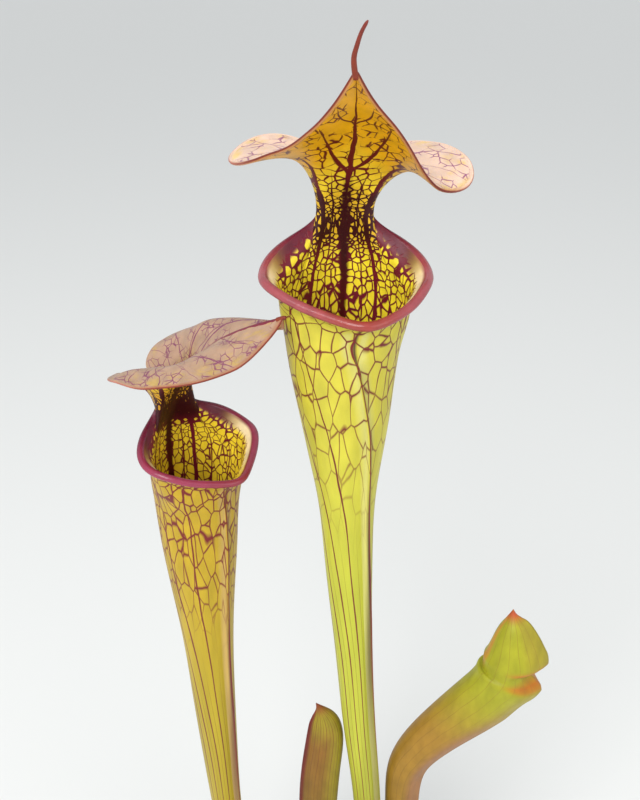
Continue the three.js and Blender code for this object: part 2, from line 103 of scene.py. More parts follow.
def speckled_material(name, sockets, stops, **texture):
    """A material coloured by noise over Object coordinates, its scale per metre, through a ramp
    with stops of (position, sRGB colour). Also returns its shader, the place and the noise."""
    material, shader = new_material(name, sockets)
    place = add_node(shader.id_data, "TexCoord").outputs["Object"]
    specks = noise(place, **texture)
    ramp = add_node(shader.id_data, "ValToRGB", {"Fac": specks})
    for stop, (position, colour) in zip(ramp.color_ramp.elements, stops):
        stop.position = position
        stop.color = (*linear(colour), 1)
    plug(shader, {"Base Color": ramp.outputs["Color"]})
    return material, shader, place, specks


def merged_mesh(cad_name, sharp_angle):
    """A copy of a CAD node's mesh with its loose triangles joined, smooth up to the sharp angle."""
    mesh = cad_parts[cad_name].data.copy()
    form = bmesh.new()
    form.from_mesh(mesh)
    bmesh.ops.remove_doubles(form, verts=form.verts, dist=1e-6)
    form.to_mesh(mesh)
    form.free()
    mesh.materials.clear()
    mesh.shade_smooth()
    mesh.set_sharp_from_angle(angle=sharp_angle)
    return mesh


def new_piece(name, mesh, material, nodes=()):
    """An object for a finished mesh: it rides on the plant and stands for the CAD nodes named."""
    mesh.name = name
    mesh.materials.append(material)
    made = bpy.data.objects.new(name, mesh)
    bpy.context.scene.collection.objects.link(made)
    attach(made, "root")
    if nodes:
        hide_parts(*nodes)


# Black polypropylene, as moulded: a dull sheen with a fine grain and dusty scuffs.
plastic, shader, place, scuffs = speckled_material(
    "moulded black polypropylene", {"IOR": 1.49, "Metallic": 0.0},
    [(0.42, "#101113"), (0.8, "#2c2d2f")], Scale=60.0, Detail=6.0, Roughness=0.65)
plug(shader, {"Roughness": ranged(scuffs, 0.38, 0.62)})
dents(shader, noise(place, Scale=2500.0, Detail=2.0), 0.12, 0.0002)
new_piece("nursery_pot", merged_mesh("pot", math.radians(38)), plastic, ["pot"])

# Soil
# Dark brown peat with pale perlite and grit, filled loosely into the pot to a finger below its rim.
# The body is one skin with a rough top. The crumbs and grains are lumps half sunk in it.

per_metre = 1000            # millimetres in a metre
soil_top = 90.0
pot_half, pot_corner = 45.0, 9.0             # half the width over the rim, and its corners' radius
pot_foot, pot_shoulder, rim_foot = 33.0, 42.4, 93.0     # half widths, and the height of the second
pot_wall = 1.2
clearance = 0.3
crown_centre = np.array([1.0, 1.0])
crown_length, crown_width = 33.0, 8.5        # half, each


def inside_pot(z):
    """Half the width inside the pot's wall, which widens evenly from the foot to the rim's foot."""
    return pot_foot + (pot_shoulder - pot_foot) * z / rim_foot - pot_wall


def smooth(x, start, end):
    """0 before start and 1 after end, with an even S between them."""
    share = np.clip((x - start) / (end - start), 0, 1)
    return share * share * (3 - 2 * share)


def fade(x, start, end):
    """1 before start and 0 after end, with the same S."""
    return 1 - smooth(x, start, end)


def soil_height(x, y):
    """The peat's top: a plane with three long waves and one short one."""
    waves = np.sin(x * 0.31 + 1.3) * np.cos(y * 0.27) + 0.6 * np.sin(x * 0.83 - y * 0.71)
    return soil_top - 0.9 + 0.55 * waves + 0.35 * np.sin(x * 1.9 + 2) * np.sin(y * 2.1)


def square_ring(half_width, z, per_corner=24):
    """A square with round corners, as four quarter circles whose centres stand inset from it."""
    corner = pot_corner * half_width / pot_half
    turn = np.linspace(-math.pi / 4, math.pi / 4, per_corner)
    middles = math.pi / 4 + np.arange(4) * math.pi / 2
    angle = (middles[:, None] + turn).ravel()
    middle = np.repeat(middles, per_corner)
    inset = (half_width - corner) * math.sqrt(2)
    x = inset * np.cos(middle) + corner * np.cos(angle)
    y = inset * np.sin(middle) + corner * np.sin(angle)
    return np.stack([x, y, np.full_like(x, z)], axis=-1)


def facing(corners, turned):
    """The corners of faces in order, or turned: the other way round from the same first corner."""
    return corners[:1] + corners[:0:-1] if turned else corners


def grid_faces(rows, across, first=0, turned=False):
    """Faces over a grid of rows, each a closed loop, numbered from a first corner: its quads, and a
    flat face over each end."""
    here = first + np.arange(rows * across).reshape(rows, across)
    beside = np.roll(here, -1, axis=1)
    quads = facing([here[:-1], beside[:-1], beside[1:], here[1:]], turned)
    step = -1 if turned else 1
    ends = [here[0][::-step].tolist(), here[-1][::step].tolist()]
    return np.stack(quads, axis=-1).reshape(-1, 4).tolist(), ends


def smooth_mesh(corners, faces):
    """A smooth-shaded mesh of corners in millimetres."""
    mesh = bpy.data.meshes.new("skin")
    mesh.from_pydata((corners.reshape(-1, 3) / per_metre).tolist(), [], faces)
    mesh.shade_smooth()
    return mesh


def skin_mesh(grid):
    """A closed skin over a grid of rows, each row a closed loop, with a flat face over each end."""
    quads, ends = grid_faces(*grid.shape[:2])
    return smooth_mesh(grid, quads + ends)


walls = [square_ring(inside_pot(z) - clearance, z) for z in (2, 20, 40, 60, 75, soil_top - 1.6)]
rim_half = inside_pot(soil_top - 1) - clearance - 0.4
tops = []
for share in np.linspace(1, 0.01, 90):
    ring = square_ring(rim_half * share, 0)
    x, y = ring[:, 0], ring[:, 1]
    fine = 0.28 * np.sin(x * 3.7 + 2 * np.sin(y * 1.3)) * np.sin(y * 4.1 + 2 * np.sin(x * 1.7))
    along = np.maximum(np.abs(x - crown_centre[0]) - (crown_length - crown_width), 0)
    from_crown = np.hypot(along, y - crown_centre[1]) - crown_width
    ring[:, 2] = soil_height(x, y) + fine - 4.0 * smooth(-from_crown, 0.2, 1.8)
    tops.append(ring)
# Damp peat: nearly black brown, matt, with fibres that catch a little light.
peat, shader, _, fibres = speckled_material(
    "damp peat", {"Roughness": 0.92, "IOR": 1.4}, [(0.35, "#1b120d"), (0.72, "#5d4331")],
    Scale=700.0, Detail=8.0, Roughness=0.7)
dents(shader, fibres, 0.8, 0.0012)
new_piece("peat", skin_mesh(np.stack(walls + tops)), peat, ["soil"])

rng = np.random.default_rng(7)
form = bmesh.new()
bmesh.ops.create_icosphere(form, subdivisions=2, radius=1)
ball = np.array([corner.co for corner in form.verts])
ball_faces = np.array([[corner.index for corner in face.verts] for face in form.faces])
form.free()


def lumps_mesh(places, sizes, stretch, roughness):
    """Lumps at places: balls, each turned at random, stretched, and dented by three waves."""
    count = len(places)
    turns = np.linalg.qr(rng.normal(size=(count, 3, 3)))[0]
    waves = rng.normal(size=(count, 3, 3)) * 2.2
    phase = rng.uniform(0, 6.28, (count, 3))
    dented = np.sin(np.einsum("vj,nwj->nwv", ball, waves) + phase[..., None]).sum(axis=1)
    reach = 1 + roughness * dented
    shaped = ball[None] * reach[..., None] * (1 + stretch * rng.uniform(-1, 1, (count, 1, 3)))
    shaped = np.einsum("nvj,nij->nvi", shaped, turns) * sizes[:, None, None] + places[:, None]
    index = ball_faces[None] + len(ball) * np.arange(count)[:, None, None]
    mirrored = np.linalg.det(turns) < 0
    index[mirrored] = index[mirrored][:, :, ::-1]
    return smooth_mesh(shaped, index.reshape(-1, 3).tolist())


def scattered(count, least, most, sunk):
    """Places on the peat and random sizes for lumps, clear of the crown and of the pot's wall."""
    sizes = rng.uniform(least, most, count)
    spots = rng.uniform(-rim_half + 2, rim_half - 2, (count * 3, 2))
    away = (np.abs(spots - crown_centre) > [crown_length + 2, crown_width + 2]).any(axis=1)
    corner = np.abs(spots).sum(axis=1) < 2 * rim_half - 7
    spots = spots[away & corner][:count]
    sizes = sizes[:len(spots)]
    return np.column_stack([spots, soil_height(*spots.T) + sunk * sizes]), sizes


def grain_draws(state=11):
    """The CAD source's seeded draws, 0 to 1: each grain lies where the solid soil has its own."""
    while True:
        state = (state * 1664525 + 1013904223) % 4294967296
        yield state / 4294967296


places, sizes = scattered(520, 0.6, 1.7, 0.15)
new_piece("peat_crumbs", lumps_mesh(places, sizes, 0.3, 0.1), peat)

grain_count, grain_reach = 34, 37
draws = grain_draws()
grains = []
while len(grains) < grain_count:
    x, y = [(next(draws) * 2 - 1) * grain_reach for _ in "xy"]
    size = 1.3 + next(draws) * 1.1
    if abs(y - crown_centre[1]) > crown_width + 3 or abs(x) > crown_length + 4:
        next(draws)
        next(draws)
        grains.append([x, y, soil_height(x, y) + 0.25 * size, size])
grains = np.array(grains)
places, sizes = scattered(90, 0.4, 1.0, 0.3)
# Perlite: glass blown up by heat, chalk white and full of fine pores, stained by the wet peat.
perlite, shader, place, _ = speckled_material(
    "expanded perlite", {"Roughness": 0.85, "IOR": 1.45}, [(0.3, "#8f7f6a"), (0.62, "#e3ddd0")],
    Scale=380.0, Detail=5.0)
pores = add_node(shader.id_data, "TexVoronoi", {"Vector": place, "Scale": 2600.0})
dents(shader, pores.outputs["Distance"], 0.5, 0.0003)
places, sizes = np.vstack([grains[:, :3], places]), np.concatenate([grains[:, 3], sizes])
new_piece("perlite_grains", lumps_mesh(places, sizes, 0.18, 0.07), perlite)

# Rhizome
# The plant's thick creeping stem, half sunk in the peat, with the dry cut bases of old leaves. It
# grew as one piece, so it is one skin: the CAD solid with its faces joined.

# Rhizome bark: papery brown scales over a reddish stem, matt.
bark, shader, _, flakes = speckled_material(
    "rhizome bark", {"Roughness": 0.8, "IOR": 1.45}, [(0.34, "#3a2216"), (0.68, "#9a7148")],
    Scale=420.0, Detail=7.0, Roughness=0.7, Distortion=0.6)
dents(shader, flakes, 0.6, 0.0008)
new_piece("rhizome_crown", merged_mesh("rhizome", math.radians(50)), bark, ["rhizome"])

# Tall pitcher
# An open trumpet leaf, grown as one piece: a hollow tube with a wing down its front, a rolled lip,
# a narrow neck and a two-lobed lid with a horn. Its veins are curves through rings round the leaf,
# and the wall is thickened from them and closed over the margin by a bead.

leaf_wall = 0.7
half_wall = leaf_wall / 2
lip_radius, lid_edge_radius = 1.2, 0.4
back_to_front = 20          # vein spaces from the back of the leaf to its front
all_round = 2 * back_to_front
vein_columns = 6            # columns of the grid from one vein number to the next
wing_root = 0.6             # vein numbers beside the front that the wing's own columns take up
neck_back = 10.5            # the neck's middle, behind the throat's centre
swing_reach = 32.0          # how fast a wing swings aside down the tube
row_spacing = 2.6           # millimetres between the rows of a tube
hood_steps = 16             # rows from one ring of the hood to the next
vein_spacing = 2.5          # vein numbers from one main vein to the next
lobe_start = 3.4            # vein number where the lid's lobe begins
uv_height = 400.0           # millimetres up the leaf in one unit of its UV map

# Right half of each ring, from the back to the front, as [right, back, up] from the throat's
# centre.
throat_ring = [
    [0, 13.6, 6], [2, 13.4, 6], [3.9, 12.8, 6], [5.5, 12, 6], [6.9, 11.1, 6], [8, 10.3, 6],
    [8.8, 9.6, 6], [9.4, 9.1, 6], [9.8, 8.7, 5.9], [10.2, 8.3, 5.8], [10.6, 8, 5.6], [11, 7.6, 5.3],
    [11.5, 7.1, 4.9], [12.5, 6.2, 4.2], [14, 4.2, 3], [15.6, 0.5, 1], [16, -3.5, -0.8],
    [14.2, -8, -2.2], [10.2, -11.6, -4], [5.3, -14, -5.2], [0, -15, -5.6]]
neck_ring = [
    [0, 11.4, 21.5], [1.3, 11.3, 21.5], [2.6, 11, 21.5], [3.8, 10.6, 21.5], [4.9, 10.2, 21.5],
    [5.8, 9.9, 21.6], [6.5, 9.9, 21.8], [6.9, 10.3, 21.8], [7, 10.8, 21.7], [6.9, 11.3, 21.5],
    [6.8, 11.7, 21], [6.7, 11.7, 20.2], [6.9, 11.1, 18.2], [8.6, 9.5, 15], [12.2, 6.4, 11.6],
    [15.6, 2.2, 7.8], [16.9, -3.2, 5.4], [15.3, -8.2, 3.9], [10.9, -12.4, 1.6], [5.5, -15.6, -0.1],
    [0, -17, -0.7]]
inner_lip = [
    [6.5, 12, 21], [8.4, 10.8, 17], [12.8, 7.4, 13.6], [16.9, 3, 9.8], [18.2, -3, 7.7],
    [16.8, -8.7, 6.3], [11.9, -13.5, 3.8], [5.9, -17.6, 2.3], [0, -20, 1.7]]
outer_lip = [
    [5.7, 12.8, 23], [8, 11.8, 18.2], [13, 8.2, 14.8], [17.9, 3.3, 11.5], [19.8, -2.8, 9.4],
    [18, -9.2, 8.2], [12.8, -14.5, 5.8], [6.3, -19, 4.2], [0, -21.8, 3.6]]
sail_middle = [
    [0, -3, 42.5], [2.6, -1.8, 41.5], [5.2, 0, 39.5], [7.6, 1.8, 37], [10, 4, 34.5],
    [12.4, 6.6, 33], [14, 9.8, 32.8], [14.2, 13, 33.3], [12.6, 16, 33.6], [10, 16.5, 33.4],
    [8, 15, 31.2], [6.9, 13.2, 27]]
sail_edge = [
    [0, -21, 57], [2.8, -17.5, 52.2], [6.1, -13.8, 47.7], [10.8, -9, 42.2], [15.5, -3.8, 36.5],
    [21.5, 1.8, 32], [28.2, 7.5, 30.4], [30, 13.8, 32.8], [25, 20.5, 35.9], [16.5, 22.5, 36.4],
    [9.5, 19, 34.5], [6.3, 14.2, 29.5]]

tall_leaf = SimpleNamespace(
    throat=np.array([1.3, 0.0, soil_top + 284]), turn=0.0, size=1.0,
    roll_reach=(7, 22), roll_front=4.1, roll_back=1.0,
    lid_shift=1.7, neck_lean=0.0, spout_shift=4.2, lid_turn=0.0, front_swing=math.radians(43),
    lid_middle=sail_middle, lid_edge=sail_edge,
    tube=[
        [11, 14.9, -0.3, -0.5], [22, 13.5, -0.1, -0.5], [34, 11.9, 0.5, -0.4], [47, 10, 0.9, -0.2],
        [60, 8.3, 1.4, 0], [83, 7.2, 2.4, 0], [118, 6, 4.5, 0], [155, 5.4, 7.2, 0],
        [195, 4.6, 10.7, 0], [240, 4.1, 10.8, 0], [279, 3.9, 8.7, 0], [291, 3.6, 8.7, 0]],
    wing=[[0, 0], [8, 0], [30, 1.8], [100, 2.8], [190, 2.8], [240, 1.5], [276, 0], [300, 0]],
    horn=[[0.85, -20, 55.6], [0.3, -22.4, 59.2], [0.7, -23.8, 61.6], [1.5, -25, 64.2],
          [2.7, -26, 66.4]])


def curve_through(knots, values, at):
    """Natural cubic splines, many at once: for each, values at rising knots, read at places."""
    count = knots.shape[1]
    gap = np.diff(knots, axis=1)
    left = np.zeros((len(knots), count, count))
    right = np.zeros_like(left)
    inner = np.arange(1, count - 1)
    before, after = gap[:, :-1], gap[:, 1:]
    left[:, inner, inner - 1] = before
    left[:, inner, inner] = 2 * (before + after)
    left[:, inner, inner + 1] = after
    right[:, inner, inner - 1] = 6 / before
    right[:, inner, inner] = -6 / before - 6 / after
    right[:, inner, inner + 1] = 6 / after
    left[:, 0, 0] = 1
    left[:, -1, -1] = 1
    curvature = np.linalg.solve(left, right @ values)
    cell = np.clip((at[:, :, None] >= knots[:, None, :]).sum(axis=2) - 1, 0, count - 2)
    row = np.arange(len(knots))[:, None]
    low, high = knots[row, cell], knots[row, cell + 1]
    width = high - low
    a = ((high - at) / width)[..., None]
    b = ((at - low) / width)[..., None]
    bow = (a ** 3 - a) * curvature[row, cell] + (b ** 3 - b) * curvature[row, cell + 1]
    return a * values[row, cell] + b * values[row, cell + 1] + bow * (width ** 2 / 6)[..., None]


def ring_places(half, veins, pointed=False):
    """A mirrored ring read at each vein: a closed spline, or one with a point at the back."""
    half = np.array(half, float)
    mirror = half[::-1] * [-1, 1, 1]
    if pointed:
        values = np.concatenate([half, mirror[1:]])
        knots = np.arange(all_round + 1.0)
    else:
        ring = np.concatenate([half, mirror[1:-1]])
        values = np.concatenate([ring[-6:], ring, ring[:7]])
        knots = np.arange(-6.0, all_round + 7)
    return curve_through(knots[None], values[None], veins[None])[0]


def bent(places, leaf):
    """The leaf's own bends: the lid rolls and shifts aside, the neck leans, the spout turns aside,
    and the lid turns about the neck."""
    x, y, z = places[:, 0], places[:, 1], places[:, 2]
    lid = smooth(z, 20, 34)
    front = smooth(-y, -17, -3)
    lobe = np.sign(x) * smooth(np.abs(x), *leaf.roll_reach)
    rolled = z - lobe * lid * (leaf.roll_back + (leaf.roll_front - leaf.roll_back) * front)
    leaned = y - leaf.neck_lean * smooth(rolled, 4, 24)
    shift = leaf.lid_shift * lid * (1 - 0.5 * smooth(rolled, 36, 56))
    spout = smooth(-leaned, 6, 24) * smooth(rolled, -22, -2) * smooth(-rolled, -14, -6)
    neck = neck_back - leaf.neck_lean
    x, y = x + shift + leaf.spout_shift * spout, leaned - neck
    cosine, sine = np.cos(leaf.lid_turn * lid), np.sin(leaf.lid_turn * lid)
    return np.stack([x * cosine - y * sine, x * sine + y * cosine + neck, rolled], axis=-1)


def placed(places, leaf):
    """From the throat's own axes to the plant's: scaled, turned about Z and moved to the throat."""
    cosine, sine = math.cos(leaf.turn), math.sin(leaf.turn)
    x, y, z = np.moveaxis(places * leaf.size, -1, 0)
    return np.stack([x * cosine - y * sine, x * sine + y * cosine, z], axis=-1) + leaf.throat


def tube_ring(ring, veins, leaf):
    """A flattened circle round the tube. Near the throat its veins crowd as in the throat's ring,
    and down the tube its front veins, with the wing, swing round to the right."""
    drop, half_width, shift_x, shift_y = ring
    throat = ring_places(throat_ring, veins)
    crowded = np.arctan2(throat[:, 0], throat[:, 1])
    crowded = np.where((veins >= back_to_front) & (crowded <= 0), crowded + 2 * math.pi, crowded)
    even = veins * math.pi / back_to_front
    crowding = fade(drop, 15, 130)
    swing = leaf.front_swing * (1 - math.exp(-drop / swing_reach))
    angle = even + (crowded - even) * crowding - swing * (1 - np.cos(even)) / 2 - leaf.turn
    radius = half_width - half_wall
    x = radius * np.sin(angle) + shift_x
    y = 0.93 * radius * np.cos(angle) + shift_y
    return np.stack([x, y, np.full_like(x, -drop)], axis=-1) + leaf.throat


def unit(vectors):
    """Vectors along the last axis, each made one long."""
    return vectors / (np.linalg.norm(vectors, axis=-1, keepdims=True) + 1e-12)


def mix(first, second, share):
    """From one colour or array to another, by a share that may vary over the surface."""
    return first + (second - first) * np.asarray(share)[..., None]


def leaf_surface(leaf):
    """The middle of the wall on a grid of rows up the leaf by veins round it: each vein is a spline
    through its points in the rings. Also its outward normal, direction, place on the leaf, and the
    millimetres from one whole vein number to the next."""
    veins = np.arange(0, all_round, 1 / vein_columns)
    veins = veins[np.abs(veins - back_to_front) > wing_root]
    wing_veins = back_to_front + np.array([-0.42, -0.28, -0.14, 0, 0.14, 0.28, 0.42])
    veins = np.sort(np.concatenate([veins, wing_veins]))
    rings = [tube_ring(ring, veins, leaf) for ring in leaf.tube[::-1]]
    below = len(rings)
    hood = [
        ring_places(throat_ring, veins), ring_places(neck_ring, veins),
        ring_places(leaf.lid_middle + inner_lip, veins),
        ring_places(leaf.lid_edge + outer_lip, veins, pointed=True)]
    rings += [placed(bent(ring, leaf), leaf) for ring in hood]
    points = np.stack(rings, axis=1)
    chords = np.linalg.norm(np.diff(points, axis=1), axis=2)
    knots = np.concatenate([np.zeros((len(veins), 1)), np.cumsum(chords ** 0.75, axis=1)], axis=1)
    stations = []
    for i in range(len(rings) - 1):
        steps = max(2, round(chords[:, i].mean() / row_spacing)) if i < below else hood_steps
        stations += list(i + np.arange(steps) / steps)
    stations = np.array(stations + [len(rings) - 1.0])
    cell = np.minimum(stations.astype(int), len(rings) - 2)
    at = knots[:, cell] + (knots[:, cell + 1] - knots[:, cell]) * (stations - cell)
    surface = curve_through(knots, points, at).transpose(1, 0, 2)
    across = np.roll(surface, -1, axis=1) - np.roll(surface, 1, axis=1)
    numbers = (np.roll(veins, -1) - np.roll(veins, 1)) % all_round
    along = unit(np.gradient(surface, axis=0))
    steps = np.linalg.norm(np.diff(surface, axis=0), axis=2).mean(axis=1)
    return SimpleNamespace(
        points=surface, normal=unit(np.cross(along, unit(across))), along=along, veins=veins,
        from_back=np.minimum(veins, all_round - veins), station=stations - below,
        length=np.concatenate([[0], np.cumsum(steps)]),
        gap=np.linalg.norm(across, axis=-1) / numbers)


def raise_wing(outer, wall, leaf):
    """The wing: the outer skin's seven front columns stand out as a thin flat-sided ridge."""
    veins = wall.veins
    middle = int(np.argmin(np.abs(veins - back_to_front)))
    columns = slice(middle - 3, middle + 4)
    drop = leaf.throat[2] - wall.points[:, middle, 2]
    table = np.array(leaf.wing, float)
    height = np.interp(drop, table[:, 0], table[:, 1])
    height = np.where(wall.station > 0, 0, height)
    root = wall.points[:, middle]
    normal = wall.normal[:, middle]
    side = unit(np.cross(normal, wall.along[:, middle]))
    gap = np.linalg.norm(wall.points[:, middle + 4] - wall.points[:, middle - 4], axis=-1) / 2
    aside = np.array([-0.55, -0.42, -0.34, 0, 0.34, 0.42, 0.55])
    aside = aside[None] * np.minimum(1, 0.72 * gap / 0.55)[:, None]
    crest = np.array([0, 0.55, 0.97, 1.03, 0.97, 0.55, 0])
    out = half_wall + height[:, None] * crest
    ridge = root[:, None] + side[:, None] * aside[..., None] + normal[:, None] * out[..., None]
    blend = smooth(height, 0, 0.25)[:, None, None]
    outer[:, columns] = outer[:, columns] * (1 - blend) + ridge * blend


def lip_bead(wall, leaf, steps=12):
    """The bead that closes the margin: an arc from the outer skin over to the inner one, thick
    along the mouth and thin along the lid. It lies outside the wall, as the lip rolls outward."""
    thick = smooth(wall.from_back, 12, 14.5)
    radius = lid_edge_radius + (lip_radius - lid_edge_radius) * thick
    radius = np.maximum(radius * leaf.size, half_wall + 0.03)
    whole = 2 * math.pi - np.arccos(1 - leaf_wall / radius)
    turn = np.linspace(1, 0, steps)[:, None] * whole
    point, normal, along = wall.points[-1], wall.normal[-1], wall.along[-1]
    centre = point + normal * (radius - half_wall)[:, None]
    arm = -normal[None] * np.cos(turn)[..., None] + along[None] * np.sin(turn)[..., None]
    return centre[None] + arm * radius[None, :, None]


def horn_rows(leaf, around=12, steps=40):
    """The horn: a round tube along a spline, tapering to half its radius and then to a point."""
    path_points = placed(np.array(leaf.horn, float), leaf)
    knots = np.arange(len(path_points), dtype=float)
    at = np.linspace(0, len(path_points) - 1, steps)
    path = curve_through(knots[None], path_points[None], at[None])[0]
    tangent = unit(np.gradient(path, axis=0))
    side = unit(np.cross([0, 1, 0], tangent))
    front = np.cross(tangent, side)
    radius = 0.65 - 0.33 * np.linspace(0, 1, steps)
    radius[-3:] *= [0.9, 0.7, 0.35]
    angle = np.arange(around) * 2 * math.pi / around
    circle = (side[:, None] * np.cos(angle)[:, None] + front[:, None] * np.sin(angle)[:, None])
    return path[:, None] + circle * radius[:, None, None]


def ripples(points, size, seed):
    """A soft random pattern, 0 to 1: twelve sine waves about a size long, in random directions."""
    draw = np.random.default_rng(seed)
    waves = unit(draw.normal(size=(12, 3))) * (2 * math.pi / size) * draw.uniform(0.6, 1.5, (12, 1))
    phase = draw.uniform(0, 2 * math.pi, 12)
    return 0.5 + np.sin(points @ waves.T + phase).sum(axis=-1) / 9


def rib_places(wall):
    """Signed millimetres to the lid's midrib and its side ribs. The first pair leaves the midrib at
    station 1.45 and the second at 2.15. The third runs from the column's sides into the lobes."""
    number = np.where(wall.veins > back_to_front, wall.veins - all_round, wall.veins)
    station = wall.station[:, None]
    side = np.abs(number) + 0 * station
    first = 2.5 * (1 - np.exp(-np.maximum(station - 1.45, 0) / 0.2))
    second = 1.5 * (1 - np.exp(-np.maximum(station - 2.15, 0) / 0.22))
    third = 4.9 - 0.4 * smooth(station, 1.3, 1.9) + 0.9 * smooth(station, 2.1, 2.75)
    outer_pair = np.where(side > lobe_start, side - third, side - second)
    ribs = np.stack([number + 0 * station, side - first, outer_pair], axis=-1)
    return ribs * wall.gap[..., None]


def painted(base, *coats):
    """Colours laid over a base in turn. Each coat is a colour and its share, 0 to 1."""
    colours = linear(base)
    for colour, share in coats:
        colours = mix(colours, linear(colour), share)
    return colours


def pitcher_colours(wall, leaf, kind, looks):
    """Ground colour, vein colour, half widths of the veins and half widths of the lid's ribs (mm)
    over a grid, from the place on the leaf: the drop below the throat, the station up the hood, and
    the vein's distance from the back."""
    points, gap = wall.points, wall.gap
    none = np.zeros(points.shape[:2])
    from_back = wall.from_back[None] + none
    station = wall.station[:, None] + none
    drop = leaf.throat[2] - points[..., 2]
    lid = fade(from_back, 11.2, 12.4)
    column = lid * smooth(station, 0.1, 0.6) * fade(station, 1.15, 1.6)
    blade = lid * smooth(station, 1.2, 1.7)
    near_neck = fade(station, 1.3, 2.0)
    out = smooth(station, 1.4, 2.4)
    shoulder = smooth(from_back, 10.4, 11.8) * fade(from_back, 14.4, 16.2)
    mouth = smooth(from_back, 11.6, 12.6)
    ground = painted(looks.tube_top, (looks.tube_middle, smooth(drop, 5, 110)),
                     (looks.tube_foot, smooth(drop, 120, 260)))
    vein = painted(looks.vein_top, (looks.vein_foot, smooth(drop, 20, 200)))
    wide = smooth(gap, 0.5, 0.9)
    in_lobe = smooth(from_back, lobe_start, lobe_start + 0.4)
    if kind == "outer":
        freckles = smooth(ripples(points, 3.0, 4), 0.55, 0.8) * smooth(station, 2.3, 2.9)
        from_front = back_to_front - from_back
        flank = smooth(from_front, 0.16, 0.24) * fade(from_front, 0.4, 0.6)
        # The dark maroon line along the wing's crest is painted shade: the wing's shaded side, seen
        # edge-on.
        crest = fade(from_front * gap, 0.2, 0.5) * fade(station, 1.2, 2.0)
        ground = painted(
            ground, (looks.column_back, 0.6 * column), (looks.lid_top, blade),
            (looks.freckle, 0.6 * freckles * blade),
            (looks.shoulder_band, shoulder * smooth(station, 0.5, 1.5)),
            (looks.lip, mouth * (1 - shoulder) * smooth(station, 1.5, 2.4)),
            (looks.wing, 0.7 * flank * fade(station, 0.5, 1.5)),
            (looks.wing_crest, crest * (1 - 0.55 * smooth(drop, 80, 170))))
        vein = painted(vein, (looks.lid_vein, np.maximum(blade, column)),
                       (looks.midrib, blade * fade(from_back, 0.4, 0.9)))
        net = looks.net_width * np.exp(-np.maximum(drop, 0) / 60) * (1 - blade)
        net = net * fade(drop, looks.net_reach / 2, looks.net_reach)
        net = net + 0.09 * blade * smooth(ripples(points, 7.0, 5), 0.35, 0.6)
        main = (0.22 - 0.09 * smooth(drop, 60, 200)) * (1 - blade) + 0.15 * blade
        second = 0.05 * smooth(drop, 45, 100) * fade(drop, 180, 240) + 0.08 * blade * out
        ribs = [looks.midrib_width - 0.1 * out, 0.3 - 0.1 * out, 0.24 - 0.08 * out]
    else:
        frayed = 0.9 + 1.3 * ripples(points * [1, 1, 0.4], 4.0, 8)
        streak = fade(from_back * gap, 0.5, frayed + 0.2 * smooth(-drop, -4, 8))
        streak = streak * fade(station, 1.1, 1.5) * fade(drop, 50, 110)
        dark = painted(looks.column, (looks.streak, smooth(drop, -12, 6)))
        pale = smooth(from_back, 14.6, 16.2) * fade(from_back, 18, 19.6)
        blush = smooth(from_back, 9.8, 11) * fade(from_back, 14, 16)
        ground = painted(
            # Near the throat the inside is its own yellow made brighter, and under the lid its
            # amber too: painted light shining through the thin leaf.
            ground, (looks.inside, fade(drop, 40, 90)),
            (looks.lid_under, blade * (1 - near_neck)),
            (looks.island, np.maximum(column, blade * near_neck)), (dark, streak),
            # The pale cream band on the lip's inner face is partly its own colour and partly a
            # painted highlight.
            (looks.inner_band, pale * smooth(station, 1.1, 1.9)),
            (looks.lip, 0.85 * blush * smooth(station, 0.8, 1.5)),
            (looks.shoulder_band, 0.95 * shoulder * smooth(station, 0.9, 1.5)),
            (looks.lip, mouth * (1 - shoulder) * smooth(station, 2.4, 3.0)))
        vein = painted(vein, (looks.inside_vein, fade(drop, 60, 120)),
                       (looks.column, column), (dark, streak), (looks.under_vein, blade))
        bundle = fade(np.abs(from_back - 5), 0.7, 1.3)
        low_column = column * fade(station, 0.75, 1.25)
        net = looks.throat_net * fade(drop, 50, 130) + 0.3 * streak
        net = net + looks.column_net * low_column + 0.22 * shoulder * smooth(station, 0.3, 1.0)
        broken = smooth(ripples(points, 6.0, 6), 0.4, 0.6)
        net = net * (1 - blade) + blade * (0.12 * near_neck + 0.15 * broken)
        main = 0.22 + 0.36 * bundle * fade(drop, 20, 90) + column * (0.06 + 0.3 * bundle)
        main = main * (1 - blade) + blade * 0.16 * smooth(from_back, 6.6, 7.4)
        second = 0.08 * smooth(drop, 20, 60)
        ribs = [0.8 - 0.46 * out, 0.6 - 0.26 * out,
                0.32 - 0.04 * out + 0.4 * in_lobe * (1 - 0.7 * out)]
    clear = 1 - mouth * smooth(station, 1.2, 2.0)
    ends = [1 - 0.4 * smooth(station, 2.4, 3), fade(station, 2.6, 2.95),
            np.maximum(in_lobe, smooth(station, 2.1, 2.2)) * fade(station, 2.65, 2.9)]
    on_lid = smooth(station, 1.1, 1.5) * lid
    ribs = np.stack([rib * on_lid * end for rib, end in zip(ribs, ends)], axis=-1)
    widths = np.stack([net * clear, main * wide * clear, second * wide * clear], axis=-1)
    return ground, vein, widths, ribs


def bead_colours(wall, rows, looks):
    """The bead's colours: along the lid a dark line between pale sides, along the mouth maroon at
    the shoulders, then rose, and red at the front."""
    from_back = wall.from_back
    middle = fade(np.abs(np.linspace(-1, 1, rows)), 0.2, 0.75)
    lobe = smooth(from_back, 5, 6.5) * fade(from_back, 9.5, 11)
    line = painted(looks.lid_margin, (looks.lobe_margin, lobe))
    side = painted(looks.lid_side, (looks.lid_top, lobe))
    ground = side[None] + (line - side)[None] * middle[:, None, None]
    lip = painted(looks.shoulder_band, (looks.lip, smooth(from_back, 13.6, 16)),
                  (looks.lip_front, smooth(from_back, 18, 19.6)))
    mouth = smooth(from_back, 11.4, 12.6)[None, :, None]
    ground = ground * (1 - mouth) + lip[None] * mouth
    none = np.zeros(ground.shape)
    return ground, ground * 0.5, none, none


